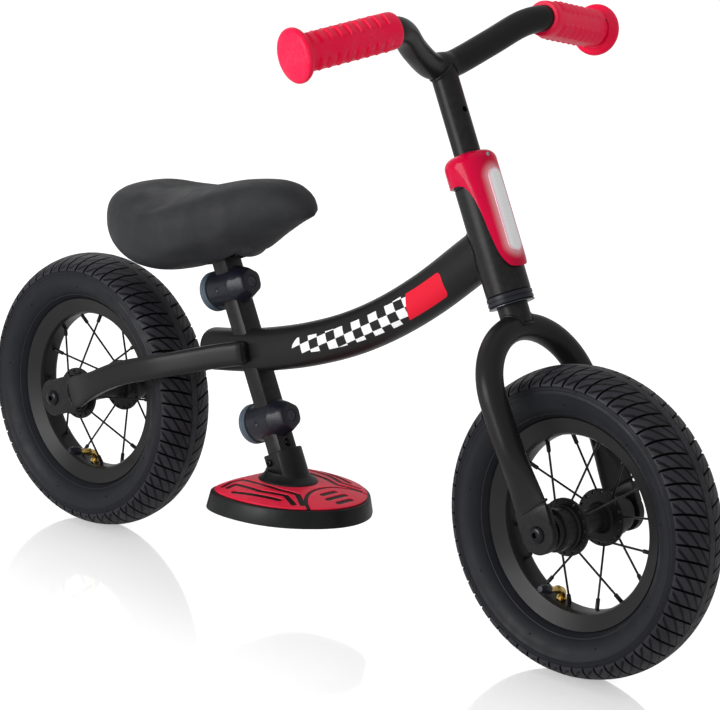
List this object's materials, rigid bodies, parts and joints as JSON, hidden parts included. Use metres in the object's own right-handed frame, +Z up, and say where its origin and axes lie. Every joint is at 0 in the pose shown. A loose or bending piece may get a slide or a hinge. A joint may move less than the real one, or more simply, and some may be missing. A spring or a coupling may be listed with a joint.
{
  "type": "balance bike",
  "caption": "Child's balance bike with curved beam frame, spoked pneumatic wheels, bent handlebar with rubber grips, padded saddle and a footrest, each adjustable.",
  "frame": {"origin": "on the ground, midway between the two axles and on the centre plane", "axes": "+X forward, +Y to the rider's left, +Z up"},
  "size_m": [0.8296, 0.3804, 0.5236],
  "materials": {
    "black_paint": "satin black powder coat",
    "black_plastic": "satin",
    "knob_plastic": "satin blue grey",
    "red_plastic": "gloss red",
    "red_rubber": "soft matte red",
    "base_rubber": "soft matte black",
    "tyre_rubber": "blue-black rubber",
    "tube_rubber": "plain black butyl",
    "saddle_vinyl": "smooth black vinyl",
    "silver_panel": "silver white",
    "valve_brass": "polished",
    "steel": "brushed",
    "dark_steel": "black oxide"
  },
  "bodies": {
    "frame": {"main_beam": "black_paint", "left_rear_stay": "black_paint", "right_rear_stay": "black_paint", "head_tube": "black_paint", "lower_headset_cup": "black_plastic", "upper_headset_cup": "black_plastic", "seat_tube": "black_paint", "saddle_clamp_barrel": "black_plastic", "saddle_clamp_plug": "knob_plastic", "footrest_clamp_barrel": "black_plastic", "footrest_clamp_plug": "knob_plastic", "rear_axle": "steel", "rear_axle_bolt_left": "dark_steel", "rear_axle_bolt_right": "dark_steel"},
    "fork": {"fork": "black_paint", "crown_race": "steel", "stem_clamp": "dark_steel", "height_pin": "steel", "head_cover": "red_plastic", "cover_panel": "silver_panel", "cover_screw": "dark_steel", "front_axle": "steel", "front_axle_bolt_left": "dark_steel", "front_axle_bolt_right": "dark_steel"},
    "handlebar": {"handlebar": "black_paint", "left_grip": "red_rubber", "right_grip": "red_rubber"},
    "front_wheel": {"front_tyre": "tyre_rubber", "front_inner_tube": "tube_rubber", "front_rim": "black_paint", "front_hub_and_spokes": "black_paint", "front_valve": "valve_brass", "front_valve_cap": "black_plastic", "front_bearing_left": "steel", "front_bearing_right": "steel"},
    "rear_wheel": {"rear_tyre": "tyre_rubber", "rear_inner_tube": "tube_rubber", "rear_rim": "black_paint", "rear_hub_and_spokes": "black_paint", "rear_valve": "valve_brass", "rear_valve_cap": "black_plastic", "rear_bearing_left": "steel", "rear_bearing_right": "steel"},
    "saddle": {"saddle_post": "black_paint", "saddle_bolt": "dark_steel", "saddle_pan": "black_plastic", "saddle_cushion": "saddle_vinyl"},
    "footrest": {"footrest_post": "black_paint", "footrest_button": "dark_steel", "footrest_bolt": "dark_steel", "footrest_base": "base_rubber", "footrest_pad": "red_rubber", "footrest_front_pad": "red_rubber"},
    "saddle_knob": {"saddle_clamp_knob": "knob_plastic"},
    "footrest_knob": {"footrest_clamp_knob": "knob_plastic"}
  },
  "joints": [
    {"name": "steering", "type": "hinge", "parent": "frame", "child": "fork", "pos_m": [0.28093, 0, 0.12374], "axis": [-0.4289, 0, 0.9033], "range_deg": [-45, 45]},
    {"name": "handlebar_height", "type": "slide", "parent": "fork", "child": "handlebar", "axis": [-0.4289, 0, 0.9033], "range_m": [-0.0515, 0]},
    {"name": "front_wheel_spin", "type": "hinge", "parent": "fork", "child": "front_wheel", "pos_m": [0.2878, 0, 0.127], "axis": [0, 1, 0], "continuous": true},
    {"name": "rear_wheel_spin", "type": "hinge", "parent": "frame", "child": "rear_wheel", "pos_m": [-0.2878, 0, 0.127], "axis": [0, 1, 0], "continuous": true},
    {"name": "saddle_height", "type": "slide", "parent": "frame", "child": "saddle", "axis": [-0.4384, 0, 0.8988], "range_m": [0, 0.04]},
    {"name": "footrest_height", "type": "slide", "parent": "frame", "child": "footrest", "axis": [-0.4384, 0, 0.8988], "range_m": [-0.02, 0]},
    {"name": "saddle_knob_turn", "type": "hinge", "parent": "frame", "child": "saddle_knob", "pos_m": [-0.11593, 0, 0.25214], "axis": [0.9367, 0, 0.3502], "range_deg": [-180, 180]},
    {"name": "footrest_knob_turn", "type": "hinge", "parent": "frame", "child": "footrest_knob", "pos_m": [-0.06227, 0, 0.14213], "axis": [0.9367, 0, 0.3502], "range_deg": [-180, 180]}
  ]
}
